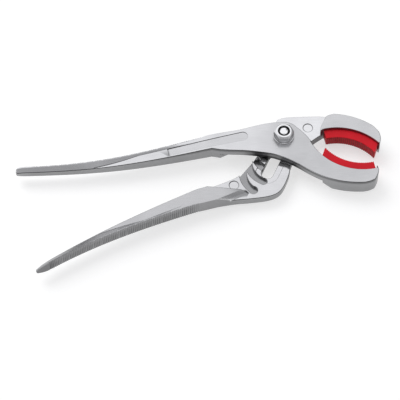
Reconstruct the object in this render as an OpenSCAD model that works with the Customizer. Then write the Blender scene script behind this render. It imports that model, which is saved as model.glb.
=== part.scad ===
// Slip-joint connector pliers with two curved jaws and soft jaw inserts.
// The pivot axis is Z. The jaws point along +X, the nut faces +Z, and Z = 0 is
// the face of the bolt head that the pliers rest on.

/* [Lap joint] */
// Thickness of each lever where the two lie on each other
plate_t = 6.2; // [5:0.1:7.5]
// Running gap between the two levers
lap_gap = 0.1; // [0.05:0.05:0.3]
// Radius of the front lever round the pivot
hub_r = 11.5; // [10:0.1:12.5]

/* [Pivot bolt] */
// Diameter of the bolt's shank
bolt_d = 8; // [6:0.1:9]
// Gap all round the shank in the front lever's bore
bolt_fit = 0.05; // [0.02:0.01:0.1]
// Diameter of the bolt's round head
head_d = 16; // [13:0.5:18]
// Height of the bolt's head
head_h = 3; // [2:0.1:4]
// Bevel at the edges of the head and of the bolt's end
bolt_bevel = 0.7; // [0.3:0.1:1]
// How far the bolt's flat-sided key reaches along the slot
key_reach = 3; // [1.5:0.1:5]
// Outer diameter of the washer
washer_d = 14.4; // [12.5:0.1:17]
// Thickness of the washer
washer_t = 1; // [0.8:0.1:2]
// Gap between washer and shank
washer_fit = 0.2; // [0.1:0.05:0.4]
// Width of the nut across its flats
nut_af = 12.2; // [11.5:0.1:14]
// Height of the nut
nut_h = 5.4; // [4.5:0.1:8]
// How far the bolt's end stays below the top of the nut
bolt_sink = 0.4; // [0:0.1:1.5]

/* [Slip joint] */
// Number of seats along the slot
seats = 4; // [3:1:4]
// Distance from seat to seat
seat_pitch = 9.6; // [9:0.1:10]
// Direction of the slot, from the upper seat down
slot_angle = 246.5; // [243:0.5:250]
// Gap between the bolt's key and each side of the slot
slot_fit = 0.15; // [0.05:0.05:0.3]
// Radius of the middle of the arc grooves, about their seat
groove_r = 16.6; // [15.5:0.1:17]
// Width of the arc grooves
groove_w = 5.1; // [4:0.1:5.5]
// Depth of the arc grooves
groove_depth = 2.5; // [1.5:0.1:3.5]
// Gap between the tongue and the floor and walls of its groove
tongue_fit = 0.3; // [0.2:0.05:0.5]
// Half width of the shallow face milled round the slot
milled_r = 7.9; // [6.5:0.1:9]
// Depth of the shallow face
milled_depth = 0.3; // [0.1:0.1:0.6]
// Diameter of the two round coined marks
coin_d = 6.6; // [5:0.1:7]
// Depth of the coined marks
coin_depth = 0.4; // [0.2:0.1:0.8]

/* [Jaws] */
// Radius of the curved seat that each insert lies on
seat_r = 38.8; // [37.5:0.1:40]
// Metal behind the middle of the upper seat
upper_wall = 11.5; // [9:0.1:13]
// Metal behind the middle of the lower seat
lower_wall = 10.5; // [8.5:0.1:12]

/* [Inserts] */
// Thickness of the inserts, from the seat to the toothed face
insert_t = 6.9; // [5:0.1:8.5]
// Height of the inserts, along the pivot axis
insert_h = 8.2; // [6:0.1:10]
// Angle of arc from the insert's square end to its slanted end
insert_span = 59; // [50:0.5:60]
// Gap between insert and seat
insert_fit = 0.05; // [0.02:0.01:0.15]
// Diameter of the two pegs moulded on each insert
peg_d = 4; // [3:0.1:5]
// Length of the pegs
peg_len = 4.5; // [3:0.1:6]
// Distance between teeth
tooth_pitch = 1.4; // [1:0.1:2]
// Depth of the teeth
tooth_depth = 0.5; // [0.2:0.1:0.9]

/* [Handles] */
// Length of the front handle, straight from its root to its end
handle_len = 132.5; // [120:0.5:145]
// Width of the front handle at its root
front_root_w = 10.8; // [9:0.1:12]
// Width of the rear handle at its root
rear_root_w = 11.5; // [9.5:0.1:12.5]
// Width of the handles at their ends
tip_w = 3.3; // [2.5:0.1:5]
// Height of the handles at their root
root_h = 11; // [10:0.1:12]
// Height of the outer rim at the handles' ends
rim_h = 9.6; // [8:0.1:10]
// Height of the thin inner side at the handles' ends
web_h = 4.4; // [3:0.1:6]
// Flat width on the crest of the outer rim
crest_w = 0.8; // [0.4:0.1:1.2]
// Length of the rounded end
nose_len = 6; // [3:0.5:10]
// Distance between the grip's serrations
grip_pitch = 1.3; // [1:0.1:2]
// Depth of the serrations
grip_depth = 0.35; // [0.1:0.05:0.6]

/* [Panel] */
// Length of the recessed panel on the front handle
panel_len = 56; // [40:1:58]
// Width of the panel at its round end
panel_w = 6.6; // [5:0.1:7]
// Width of the panel at its square end
panel_end_w = 5; // [4:0.1:5.4]
// Depth of the panel
panel_depth = 0.4; // [0.2:0.1:0.8]

/* [Hidden] */
$fn = 96;
steel = [0.80, 0.81, 0.83];
bright = [0.88, 0.89, 0.90];
red = [0.78, 0.04, 0.06];

// Levels: the two levers meet at z_joint, and everything on them is placed from there
z_joint = head_h + plate_t + lap_gap / 2;
face = lap_gap / 2;
full = face + plate_t;
z_washer = z_joint + full;
z_nut = z_washer + washer_t;
raised = root_h - full;
// Farther out than any piece, for what cuts through them
far = 300;

// Slip joint: its seats lie along the slot, counted from the pivot down
slot_w = bolt_d + 2 * slot_fit;
slot_len = (seats - 1) * seat_pitch;
groove_in = groove_r - groove_w / 2;
groove_out = groove_r + groove_w / 2;
groove_mouth = 170;
groove_ends = [slot_angle, slot_angle, 256, 245];
key_gap = 0.2;
// The ends of the grooves are round and a little wider, the last one most
end_d = groove_w + 0.2;
pocket_d = groove_w + 1;
tongue_arc = [206, 236];
coins = [[17.1, 10.5], [-34.3, -36]];

// Jaws: the same insert lies in both, turned half round jaw_mid
jaw_mid = [45.2, -10.2];
upper_c = jaw_mid - [8.4, 21.9];
lower_c = jaw_mid + [8.4, 21.9];
insert_r = seat_r - insert_t;
square_end = 103.4;
slant_end = square_end - insert_span;
slant = 72;
peg_angles = [square_end - 0.27 * insert_span, slant_end + 0.33 * insert_span];
peg_fit = 0.05;
peg_gap = 0.3;
shoulder = 1.5;
// The outer edges have other centres, which thin the jaws toward their tips
upper_back = upper_c + [-4.6, 1.2];
upper_back_r = seat_r + upper_wall - 1.2;
lower_back = lower_c + [-3.2, 12.4];
lower_back_r = seat_r + lower_wall + 12.4;
upper_back_arc = [86, 55];
lower_back_arc = [274, 244];

// Handles: the centre line of each is a cubic from its root to its end
front_root = [-50.7, -5];
front_end = front_root + polar(handle_len, 189.2);
front_line = [front_root, front_root + polar(0.453 * handle_len, 195),
    front_end + polar(0.377 * handle_len, 2), front_end];
rear_len = 0.927 * handle_len;
rear_root = [-57.5, -47.3];
rear_end = rear_root + polar(rear_len, 207.4);
rear_line = [rear_root, rear_root + polar(0.366 * rear_len, 202.5),
    rear_end + polar(0.326 * rear_len, 34.5), rear_end];
// Where the full height of each handle rises from the plate: its start on the inner edge,
// its corner, and its end on the outer edge
front_rise = [[-43.5, -11.3], [-19, 1], [-27, 5.9]];
rear_rise = [[-52.5, -39.75], [-24.2, -42.8], [-35.7, -48.15]];
rise_slope = 62;
// Where the full height of each jaw starts
front_step = [[26, -13], [27, -24], [26, -40]];
front_foot = [[26.5, -13], [28, -22], [37, -42]];
rear_step = [[25.2, 0], [25.5, 7], [29.3, 15.9], [31.5, 17.2], [35.5, 18.3], [37, 24]];

// Points on an arc, and on a smooth curve through points without the last of them
function polar(r, a) = r * [cos(a), sin(a)];
function arc(c, r, a, b, n) = [for (i = [0:n]) c + polar(r, a + (b - a) * i / n)];
function knot(p, i) = p[max(0, min(len(p) - 1, i))];
function blend(a, b, c, d, t) = 0.5 * (2 * b + (c - a) * t + (2 * a - 5 * b + 4 * c - d) * t * t
    + (3 * b - a - 3 * c + d) * t * t * t);
function curve(p, n = 4) = [for (i = [0:len(p) - 2], j = [0:n - 1])
    blend(knot(p, i - 1), p[i], p[i + 1], knot(p, i + 2), j / n)];

// A handle's centre line, straight on past both ends, and its direction and left side
function line_at(l, t) = (t < 0) ? l[0] + 3 * t * (l[1] - l[0])
    : (t > 1) ? l[3] + 3 * (t - 1) * (l[3] - l[2])
    : pow(1 - t, 3) * l[0] + 3 * t * pow(1 - t, 2) * l[1] + 3 * t * t * (1 - t) * l[2] + pow(t, 3) * l[3];
function heading(l, t) = let (d = line_at(l, t + 0.01) - line_at(l, t - 0.01)) d / norm(d);
function left(d) = [-d[1], d[0]];

// Taper of a handle, from 1 at its root to 0 at its end
function taper(t) = pow(1 - min(1, max(0, t)), 1.6);
function width(t, root_w) = tip_w + (root_w - tip_w) * taper(t);
// The end of a handle is low and round: its height there as a share, and where that begins
function end_speed(l) = 3 * norm(l[3] - l[2]);
function end_from(l) = 1 - nose_len / end_speed(l);
function end_to(l) = 1 + 0.5 * tip_w / end_speed(l);
function end_share(l, t) = (t <= end_from(l)) ? 1
    : 0.4 + 0.6 * sqrt(max(0, 1 - pow((t - end_from(l)) / (end_to(l) - end_from(l)), 2)));

// Outline of a handle: serrated outer edge, round end, plain inner edge. hand is 1 where the
// outer edge is on the left of the way from the root to the end, and -1 on the other lever
function edge_at(l, t, off) = line_at(l, t) + off * left(heading(l, t));
function grip_edge(l, root_w, hand) = let (n = 2 * round(0.88 * norm(l[3] - l[0]) / grip_pitch))
    [for (i = [0:n]) let (t = 0.02 + 0.9 * i / n)
        edge_at(l, t, hand * (width(t, root_w) / 2 - (i % 2) * grip_depth))];
function round_end(l, hand) = let (d = heading(l, 1), a = atan2(d[1], d[0]))
    arc(l[3], tip_w / 2, a + hand * 90, a - hand * 90, 8);
function plain_edge(l, root_w, hand, n = 14) =
    [for (i = [n:-1:0]) let (t = 0.97 * i / n) edge_at(l, t, -hand * width(t, root_w) / 2)];
function handle_outline(l, root_w, hand) =
    concat(grip_edge(l, root_w, hand), round_end(l, hand), plain_edge(l, root_w, hand));
function reversed(p) = [for (i = [len(p) - 1:-1:0]) p[i]];

// Outline of the front lever: over the hub, down the neck, round the lower jaw and back
front_outline = concat(
    curve([[-52.5, 0.3], [-43.8, 2.4], [-30.3, 5.1], [-16.7, 9], [-8, hub_r - 0.7],
           [-1.5, hub_r - 0.1], polar(hub_r, 80)]),
    arc([0, 0], hub_r, 78, 45, 8),
    curve([polar(hub_r, 44), [13.8, 2.5], [17.1, -1.8], [23.9, -11.7], [27.5, -16.7]]),
    [lower_c + polar(insert_r, 225), lower_c + polar(insert_r, 280)],
    curve([[62.4, -22.6], [64.2, -26.2], [64, -29], [63, -32], [61, -35.2],
           lower_back + polar(lower_back_r, lower_back_arc[0] + 1)]),
    arc(lower_back, lower_back_r, lower_back_arc[0], lower_back_arc[1], 14),
    curve([lower_back + polar(lower_back_r, lower_back_arc[1] - 0.5), [17.1, -27.7], [10.4, -23.2],
           [3.6, -19.2], [-3.2, -16.2], [-10, -14.2], [-25, -12.2], [-37, -11.7], [-44.5, -11.2]]),
    reversed(handle_outline(front_line, front_root_w, -1)));

// Outline of the rear lever: up its inner edge, round the upper jaw, and down past the slot
rear_outline = concat(
    curve([[-53, -39.9], [-48.6, -37.3], [-38.4, -32.8], [-31.3, -28.7], [-26.2, -22.6],
           [-19.8, -13.8], [-12.8, 0], [-4.9, 15.4], [-2.5, 17.7], [1, 18.9], [8, 19.5],
           [24, 20], [29.5, 19.4], upper_back + polar(upper_back_r, upper_back_arc[0] + 1)]),
    arc(upper_back, upper_back_r, upper_back_arc[0], upper_back_arc[1], 14),
    curve([upper_back + polar(upper_back_r, upper_back_arc[1] - 1), [63.8, 5.8], [65.7, 3],
           [66.5, -0.6], [66.3, -4], [65, -7.6]]),
    [upper_c + polar(insert_r, 45), upper_c + polar(insert_r, 100)],
    curve([upper_c + polar(seat_r - 0.3, square_end + shoulder), [23.8, 2.9], [18.8, -1.1], [12.5, -6.5],
           [7.5, -13.5], [4.7, -20], [3.7, -25.5], [2.2, -30.5], [0.2, -35.5], [-2.4, -40],
           [-6.6, -43.4], [-13.3, -45.5], [-23.5, -46.9], [-35, -48.1], [-48, -50.6]]),
    handle_outline(rear_line, rear_root_w, 1));

module slab(points, low, high) {
    translate([0, 0, low]) linear_extrude(height = high - low) polygon(points);
}

// A ring sector about the Z axis, or a whole sector where inner is 0
module sector(inner, outer, from, to, low, high) {
    intersection() {
        translate([0, 0, low]) cylinder(r = outer, h = high - low);
        slab([[0, 0], polar(far, from), polar(far, (from + to) / 2), polar(far, to)], low, high);
        if (inner > 0) difference() {
            translate([0, 0, low]) cylinder(r = 2 * outer, h = high - low);
            translate([0, 0, low - 1]) cylinder(r = inner, h = high - low + 2);
        }
    }
}

// A slot of the given half width between two distances along the slip joint
module slip_slot(half, from, to, low, high) {
    rotate([0, 0, slot_angle]) translate([0, 0, low]) {
        translate([from, 0, 0]) cylinder(r = half, h = high - low);
        translate([to, 0, 0]) cylinder(r = half, h = high - low);
        translate([from, -half, 0]) cube([to - from, 2 * half, high - low]);
    }
}

// What stands above a handle's surface, as a loft along its centre line. Across the handle
// the surface is a narrow crest on the outer rim, a slope, and a lower flat to the inner edge.
// The flat widens toward the root, where all of it reaches the level of the plate.
module above_handle(l, root_w, hand, level, drop = 0) {
    lead = 0.03;
    margin = 3;
    offset_z = level - root_h / 2;
    function height(t, end_h) = (t <= 0) ? level + lead
        : offset_z * taper(t) + (end_h + (root_h - end_h) * taper(t)) / 2;
    function slope_share(t) = min(1, max(0.25, 0.25 + 2.6 * (t - 0.33)));
    function ring(t) = let (
            c = line_at(l, t), n = hand * left(heading(l, t)), w = width(t, root_w),
            share = end_share(l, t), crest = share * height(t, rim_h), web = share * height(t, web_h),
            foot = max(crest_w + 0.6, w * slope_share(t)))
        [for (p = [[-margin, crest], [crest_w, crest], [foot, web], [w + margin, web],
                   [w + margin, root_h], [-margin, root_h]])
            let (q = c + (w / 2 - p[0]) * n) [q[0], q[1], p[1] - drop]];
    stations = concat([-0.2, -0.05], [for (i = [0:18]) 0.02 + (end_from(l) - 0.03) * i / 18],
        [for (i = [0:6]) end_from(l) + (end_to(l) - end_from(l)) * sin(15 * i)], [end_to(l) + 0.03]);
    points = [for (t = stations) each ring(t)];
    last = 6 * (len(stations) - 1);
    faces = concat([[5, 4, 3, 2, 1, 0]], [[for (i = [0:5]) last + i]],
        [for (s = [0:len(stations) - 2], i = [0:5]) let (a = 6 * s + i, b = 6 * s + (i + 1) % 6)
            each [[a, b, a + 6], [b, b + 6, a + 6]]]);
    polyhedron(points, hand > 0 ? faces : [for (f = faces) reversed(f)]);
}

// Both faces of a handle, for a lever whose plate is on the upper side
module handle_faces(l, root_w, hand) {
    above_handle(l, root_w, hand, full);
    mirror([0, 0, 1]) above_handle(l, root_w, hand, raised);
}

// The part of a handle that stands out from the lap face, with its slope up from the plate
module raised_handle(outline, rise, hand) {
    along = rise[2] - rise[1];
    inner = rise[0] + 0.2 * (rise[0] - rise[1]);
    outer = rise[2] + 0.4 * along;
    side = [0, -hand * far];
    difference() {
        intersection() {
            slab(outline, -face, raised);
            slab([inner, rise[1], outer, outer + side, [-far, outer[1]] + side, [-far, inner[1]] - side,
                inner - side], -face, raised);
        }
        translate([rise[1][0], rise[1][1], -face]) rotate([0, 0, atan2(along[1], along[0])])
            rotate([-hand * rise_slope, 0, 0]) translate([-far / 2, -far / 2, 0]) cube([far, far, far]);
    }
}

// The curved seat of an insert and the blind holes for its pegs, about the jaw's centre
module insert_seat() {
    sector(0, seat_r, slant_end - insert_span / 3, square_end + shoulder, -full - 1, full + 1);
    for (a = peg_angles) rotate([0, 0, a]) translate([seat_r - 1, 0, 0]) rotate([0, 90, 0])
        cylinder(d = peg_d + 2 * peg_fit, h = 1 + peg_len + peg_gap);
}

module rear_lever() {
    color(steel) translate([0, 0, z_joint]) difference() {
        union() {
            slab(rear_outline, -full, -face);
            intersection() {
                slab(rear_outline, -face, full);
                slab(concat(rear_step, [[far, far], [far, rear_step[0][1] - far]]), -face, full);
            }
            raised_handle(rear_outline, rear_rise, 1);
        }
        mirror([0, 0, 1]) handle_faces(rear_line, rear_root_w, 1);
        translate([upper_c[0], upper_c[1], 0]) insert_seat();
        slip_slot(slot_w / 2, -key_reach, slot_len, -full - 1, 1);
        slip_slot(milled_r, 0, slot_len, -face - milled_depth, 1);
        for (k = [0:seats - 1]) translate(concat(polar(k * seat_pitch, slot_angle), 0))
            arc_groove(groove_ends[k], k == seats - 1 ? pocket_d : end_d);
        for (c = coins) translate([c[0], c[1], -face - coin_depth]) cylinder(d = coin_d, h = 2);
    }
}

// A blind arc groove from the lever's inner edge to a round end
module arc_groove(end, d) {
    floor_z = -face - groove_depth;
    end_a = end - asin(d / 2 / groove_r);
    sector(groove_in, groove_out, groove_mouth, end_a, floor_z, 1);
    rotate([0, 0, end_a]) translate([groove_r, 0, floor_z]) cylinder(d = d, h = 1 - floor_z);
}

module front_lever() {
    color(steel) translate([0, 0, z_joint]) difference() {
        union() {
            slab(front_outline, face, full);
            intersection() {
                slab(front_outline, -full, face);
                hull() {
                    slab(concat(front_step, [[far, -far], [far, 0]]), face - 0.01, face + 1);
                    slab(concat(front_foot, [[far, -far], [far, 0]]), -full - 1, -full);
                }
            }
            mirror([0, 0, 1]) raised_handle(front_outline, front_rise, -1);
            intersection() {
                slab(front_outline, -full, face);
                sector(groove_in + tongue_fit, groove_out - tongue_fit, tongue_arc[0], tongue_arc[1],
                    -face - groove_depth + tongue_fit, face);
            }
        }
        handle_faces(front_line, front_root_w, -1);
        translate([lower_c[0], lower_c[1], 0]) rotate([0, 0, 180]) insert_seat();
        translate([0, 0, -1]) cylinder(d = bolt_d + 2 * bolt_fit, h = full + 2);
        intersection() {
            panel();
            above_handle(front_line, front_root_w, -1, full, panel_depth);
        }
    }
}

// Outline of the recessed panel, from its round end toward the handle's end
module panel() {
    r = panel_w / 2;
    translate([-28, -0.3, 0]) rotate([0, 0, 193.8]) slab(concat(arc([0, 0], r, -90, -270, 12),
        [[panel_len - r, panel_end_w / 2], [panel_len - r, -panel_end_w / 2]]), 0, full + 1);
}

// An insert about its jaw's centre: a toothed arc with one square end and one slanted end,
// and two pegs that hold it on its seat
module insert() {
    outer = seat_r - insert_fit;
    corner = polar(outer, slant_end);
    reach = corner * polar(1, slant);
    foot = corner - polar(reach - sqrt(pow(reach, 2) - pow(outer, 2) + pow(insert_r, 2)), slant);
    start = atan2(foot[1], foot[0]);
    teeth = round((square_end - start) * PI / 180 * insert_r / tooth_pitch);
    half = insert_h / 2;
    intersection() {
        translate([0, 0, -half]) cylinder(r = outer, h = insert_h);
        slab(concat([corner + polar(4, slant), polar(outer + 4, (slant_end + square_end) / 2),
            polar(outer + 4, square_end)], [for (i = [2 * teeth:-1:0])
                polar(insert_r + (i % 2) * tooth_depth, start + (square_end - start) * i / 2 / teeth)]),
            -half, half);
    }
    for (a = peg_angles) rotate([0, 0, a]) translate([outer - 1, 0, 0]) rotate([0, 90, 0])
        cylinder(d = peg_d, h = 1 + peg_len);
}

module upper_insert() {
    color(red) translate([upper_c[0], upper_c[1], z_joint]) insert();
}

module lower_insert() {
    color(red) translate([lower_c[0], lower_c[1], z_joint]) rotate([0, 0, 180]) insert();
}

// A cylinder with bevelled edges: at its lower end, its upper end or both
module bevelled(d, h, low, high) {
    translate([0, 0, low]) cylinder(d = d, h = h - low - high);
    if (low > 0) cylinder(d1 = d - 2 * low, d2 = d, h = low);
    if (high > 0) translate([0, 0, h - high]) cylinder(d1 = d, d2 = d - 2 * high, h = high);
}

// The bolt's flat-sided neck keeps it from turning in the slot
module pivot_bolt() {
    color(bright) {
        bevelled(head_d, head_h, bolt_bevel, 0);
        slip_slot(bolt_d / 2, -key_reach, 0, head_h, head_h + plate_t - key_gap);
        bevelled(bolt_d, z_nut + nut_h - bolt_sink, 0, bolt_bevel);
    }
}

module washer() {
    color(bright) translate([0, 0, z_washer]) difference() {
        cylinder(d = washer_d, h = washer_t);
        translate([0, 0, -1]) cylinder(d = bolt_d + 2 * washer_fit, h = washer_t + 2);
    }
}

module hex_nut() {
    corner_r = nut_af / 2 / cos(30);
    crown_r = 0.95 * nut_af / 2;
    crown_h = (corner_r - crown_r) * tan(30);
    bore_d = bolt_d + 2 * bolt_fit;
    color(bright) translate([0, 0, z_nut]) difference() {
        intersection() {
            cylinder(r = corner_r, h = nut_h, $fn = 6);
            union() {
                cylinder(r = corner_r + 1, h = nut_h - crown_h);
                translate([0, 0, nut_h - crown_h]) cylinder(r1 = corner_r, r2 = crown_r, h = crown_h);
            }
        }
        translate([0, 0, -1]) cylinder(d = bore_d, h = nut_h + 2);
        translate([0, 0, nut_h - bolt_bevel])
            cylinder(d1 = bore_d, d2 = bore_d + 4 * bolt_bevel, h = 2 * bolt_bevel);
    }
}

rear_lever();
front_lever();
upper_insert();
lower_insert();
pivot_bolt();
washer();
hex_nut();
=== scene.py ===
"""Looks of the connector pliers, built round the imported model.

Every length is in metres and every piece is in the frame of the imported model: the pivot axis
is Z, the jaws point along +X, and Z = 0 is the face of the bolt's head that the pliers rest on.
"""

import logging
import math
from dataclasses import dataclass
from enum import Enum
from functools import cache
from typing import Callable

import bmesh
import bpy
import numpy as np
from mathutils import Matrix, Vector


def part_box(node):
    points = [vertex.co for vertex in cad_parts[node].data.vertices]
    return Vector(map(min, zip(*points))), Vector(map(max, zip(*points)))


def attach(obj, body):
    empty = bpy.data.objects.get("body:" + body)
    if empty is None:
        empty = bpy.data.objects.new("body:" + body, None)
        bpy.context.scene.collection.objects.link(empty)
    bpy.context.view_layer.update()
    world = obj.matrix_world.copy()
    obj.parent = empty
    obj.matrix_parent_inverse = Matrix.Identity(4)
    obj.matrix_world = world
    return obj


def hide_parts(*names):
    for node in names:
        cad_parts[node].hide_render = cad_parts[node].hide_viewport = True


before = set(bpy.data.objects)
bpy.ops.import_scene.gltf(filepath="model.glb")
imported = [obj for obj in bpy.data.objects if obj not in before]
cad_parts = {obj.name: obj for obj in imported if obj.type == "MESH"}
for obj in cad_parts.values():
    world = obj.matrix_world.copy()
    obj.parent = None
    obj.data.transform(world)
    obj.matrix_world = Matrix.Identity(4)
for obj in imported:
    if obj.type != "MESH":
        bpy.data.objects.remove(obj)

Array = np.ndarray
BMesh = bmesh.types.BMesh
Colour = tuple[float, float, float]
Material = bpy.types.Material
Mesh = bpy.types.Mesh
Node = bpy.types.Node
Piece = bpy.types.Object
Place = tuple[float, float]
Point = tuple[float, float, float]
Socket = bpy.types.NodeSocket
Span = tuple[float, float]
Tree = bpy.types.NodeTree

MM = 0.001
ORIGIN: Point = (0.0, 0.0, 0.0)
# A normal's upward part is at least this on a level face, loosely and strictly, and at most
# this on a wall. A steep edge climbs by at least this share of its length.
LEVEL = 0.9999
EXACTLY_LEVEL = 0.99999
WALL_LEAN = 0.2
STEEP_RISE = 0.5
log = logging.getLogger("pliers")


class Slot(Enum):
    """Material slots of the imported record."""

    STEEL = "plated_steel"
    FASTENER = "fastener_steel"
    PLASTIC = "red_plastic"


class Body(Enum):
    """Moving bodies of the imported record."""

    REAR = "rear"
    FRONT = "front"


class Axis(Enum):
    """Axes of the frame."""

    X = "X"
    Y = "Y"
    Z = "Z"


def grey(level: float) -> Colour:
    """Return the faintly blue grey of nickel at a level."""
    return (level, level * 1.004, level * 1.022)


def rgba(colour: Colour) -> tuple[float, float, float, float]:
    """Return the colour with full opacity."""
    return (*colour, 1.0)


# Shader nodes


@dataclass(frozen=True)
class Fade:
    """A slow change of brightness along one axis, from 1 at start to level at stop."""

    axis: Axis
    start: float
    stop: float
    level: float


@dataclass
class Wiring:
    """Short ways to add and join nodes in one tree.

    A value is a socket to link, or a number, a vector or a colour.
    """

    tree: Tree

    def add(self, kind: str, **settings: object) -> Node:
        """Add a node and set its properties.

        Args:
            kind: Blender's name of the node type.
            **settings: Properties of the node.

        Returns:
            The node.
        """
        node = self.tree.nodes.new(kind)
        for label, value in settings.items():
            setattr(node, label, value)
        return node

    def put(self, value: object, target: Socket) -> None:
        """Give a socket its value.

        Args:
            value: The value.
            target: The socket.
        """
        if isinstance(value, Socket):
            self.tree.links.new(value, target)
        elif target.type == "RGBA":
            target.default_value = rgba(value)
        else:
            target.default_value = value

    def feed(self, kind: str, *values: object, **settings: object) -> Socket:
        """Add a node and give the inputs that it uses their values, in order.

        Args:
            kind: Blender's name of the node type.
            *values: The values.
            **settings: Properties of the node.

        Returns:
            The first output that the node uses.
        """
        node = self.add(kind, **settings)
        for socket, value in zip((s for s in node.inputs if s.enabled), values):
            self.put(value, socket)
        return next(s for s in node.outputs if s.enabled)

    def place(self, group: Tree, **inputs: object) -> dict[str, Socket]:
        """Place a group, with its inputs by name, where an underscore stands for a space.

        Args:
            group: The group.
            **inputs: The value of each input that differs from its default.

        Returns:
            The group's outputs, by name.
        """
        node = self.add("ShaderNodeGroup", node_tree=group)
        for label, value in inputs.items():
            self.put(value, node.inputs[label.replace("_", " ")])
        return dict(node.outputs.items())

    def math(self, operation: str, *values: object) -> Socket:
        """Return what a Math node makes of the values."""
        return self.feed("ShaderNodeMath", *values, operation=operation)

    def vector(self, operation: str, *values: object) -> Socket:
        """Return what a Vector Math node makes of the values."""
        return self.feed("ShaderNodeVectorMath", *values, operation=operation)

    def mix(self, share: object, first: object, second: object) -> Socket:
        """Return a mix of two colours with that share of the second."""
        return self.feed("ShaderNodeMix", share, first, second, data_type="RGBA")

    def blend(self, share: object, first: object, second: object) -> Socket:
        """Return a mix of two numbers with that share of the second."""
        return self.feed("ShaderNodeMix", share, first, second, data_type="FLOAT")

    def between(self, value: Socket, low: object, high: object) -> Socket:
        """Return a smooth step of a value, which is 0 at low and 1 at high, in either order."""
        return self.feed("ShaderNodeMapRange", value, low, high, interpolation_type="SMOOTHSTEP")

    def step(self, value: Socket, middle: float, half: float) -> Socket:
        """Return a smooth step of a value, from 0 to 1 over half on each side of the middle."""
        return self.between(value, middle - half, middle + half)

    def varied(self, level: object, noise: Socket, spread: float) -> Socket:
        """Return the level plus spread times the noise less one half."""
        return self.math("MULTIPLY_ADD", self.math("SUBTRACT", noise, 0.5), spread, level)

    def rest(self, share: Socket) -> Socket:
        """Return 1 less the share."""
        return self.math("SUBTRACT", 1.0, share)

    def dimmed(self, colour: object, share: Socket, level: float) -> Socket:
        """Return a colour times a factor that goes from 1 to level as the share goes to 1."""
        return self.vector("SCALE", colour, self.math("MULTIPLY_ADD", share, level - 1.0, 1.0))

    def attribute(self, name: str) -> Socket:
        """Return a number that the mesh carries."""
        return self.add("ShaderNodeAttribute", attribute_name=name).outputs["Fac"]

    def split(self, vector: Socket) -> dict[str, Socket]:
        """Split a vector.

        Args:
            vector: The vector.

        Returns:
            Its X, Y and Z, by name.
        """
        node = self.add("ShaderNodeSeparateXYZ")
        self.put(vector, node.inputs[0])
        return dict(node.outputs.items())

    def faded(self, colour: object, parts: dict[str, Socket], fades: tuple[Fade, ...]) -> Socket:
        """Apply slow changes of brightness to a colour.

        Args:
            colour: The colour.
            parts: Where the surface is, by axis.
            fades: The changes.

        Returns:
            The new colour.
        """
        for fade in fades:
            share = self.between(parts[fade.axis.value], fade.start, fade.stop)
            colour = self.dimmed(colour, share, fade.level)
        return colour


@dataclass
class Group(Wiring):
    """The wiring of a shader group."""

    @classmethod
    def new(cls, name: str, inputs: dict[str, float | Point], outputs: tuple[str, ...]) -> "Group":
        """Make an empty group with named sockets.

        Args:
            name: Name of the group.
            inputs: Default of each input, a number or a vector, by its name.
            outputs: Names of the outputs, which are all numbers.

        Returns:
            The group's wiring.
        """
        tree = bpy.data.node_groups.new(name, "ShaderNodeTree")
        for label, value in inputs.items():
            kind = "NodeSocketFloat" if isinstance(value, float) else "NodeSocketVector"
            socket = tree.interface.new_socket(label, in_out="INPUT", socket_type=kind)
            socket.default_value = value
        for label in outputs:
            tree.interface.new_socket(label, in_out="OUTPUT", socket_type="NodeSocketFloat")
        tree.nodes.new("NodeGroupInput").name = "in"
        tree.nodes.new("NodeGroupOutput").name = "out"
        return cls(tree)

    def given(self, name: str) -> Socket:
        """Return one of the group's inputs."""
        return self.tree.nodes["in"].outputs[name]

    def give(self, name: str, value: Socket) -> None:
        """Feed one of the group's outputs."""
        self.put(value, self.tree.nodes["out"].inputs[name])


@cache
def streak_group() -> Tree:
    """Make the group of fine lines and soft patches that grinding and plating leave.

    Its lines are noise squeezed along one direction, and its patches and pits are plain noise.

    Returns:
        The group, with outputs Lines, Patches and Pits, each about 0 to 1.
    """
    inputs = {
        "Vector": ORIGIN,
        "Squeeze": (120.0, 3200.0, 900.0),
        "Patches per Metre": 60.0,
        "Pits per Metre": 1400.0,
    }
    group = Group.new("grinding_streaks", inputs, ("Lines", "Patches", "Pits"))
    place = group.given("Vector")
    squeezed = group.vector("MULTIPLY", place, group.given("Squeeze"))
    sources = (
        ("Lines", squeezed, 1.0, 4.0),
        ("Patches", place, group.given("Patches per Metre"), 2.0),
        ("Pits", place, group.given("Pits per Metre"), 3.0),
    )
    for label, vector, scale, detail in sources:
        group.give(label, group.feed("ShaderNodeTexNoise", vector, scale, detail))
    return group.tree


@cache
def facing_group() -> Tree:
    """Make the group that tells how a surface faces along the pivot axis.

    Flat is a smooth step of the size of the object-space normal's Z from Low to High. Up is a
    smooth step of its sign.

    Returns:
        The group, with outputs Flat and Up, each 0 to 1.
    """
    group = Group.new("facing", {"Normal": ORIGIN, "Low": 0.12, "High": 0.3}, ("Flat", "Up"))
    upward = group.split(group.given("Normal"))["Z"]
    size = group.math("ABSOLUTE", upward)
    group.give("Flat", group.between(size, group.given("Low"), group.given("High")))
    group.give("Up", group.step(upward, 0.0, 0.1))
    return group.tree


@cache
def ring_group() -> Tree:
    """Make the group that draws a soft round line about an axis along Z.

    Its value falls smoothly from 1 to 0 as the distance from the axis leaves the radius.

    Returns:
        The group, with one output Line, 0 to 1.
    """
    inputs = {"Vector": ORIGIN, "Centre": ORIGIN, "Radius": 3.3 * MM, "Half Width": 0.4 * MM}
    group = Group.new("round_line", inputs, ("Line",))
    offset = group.vector("SUBTRACT", group.given("Vector"), group.given("Centre"))
    away = group.vector("LENGTH", group.vector("MULTIPLY", offset, (1.0, 1.0, 0.0)))
    off = group.math("ABSOLUTE", group.math("SUBTRACT", away, group.given("Radius")))
    group.give("Line", group.between(off, group.given("Half Width"), 0.0))
    return group.tree


# Finishes


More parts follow.
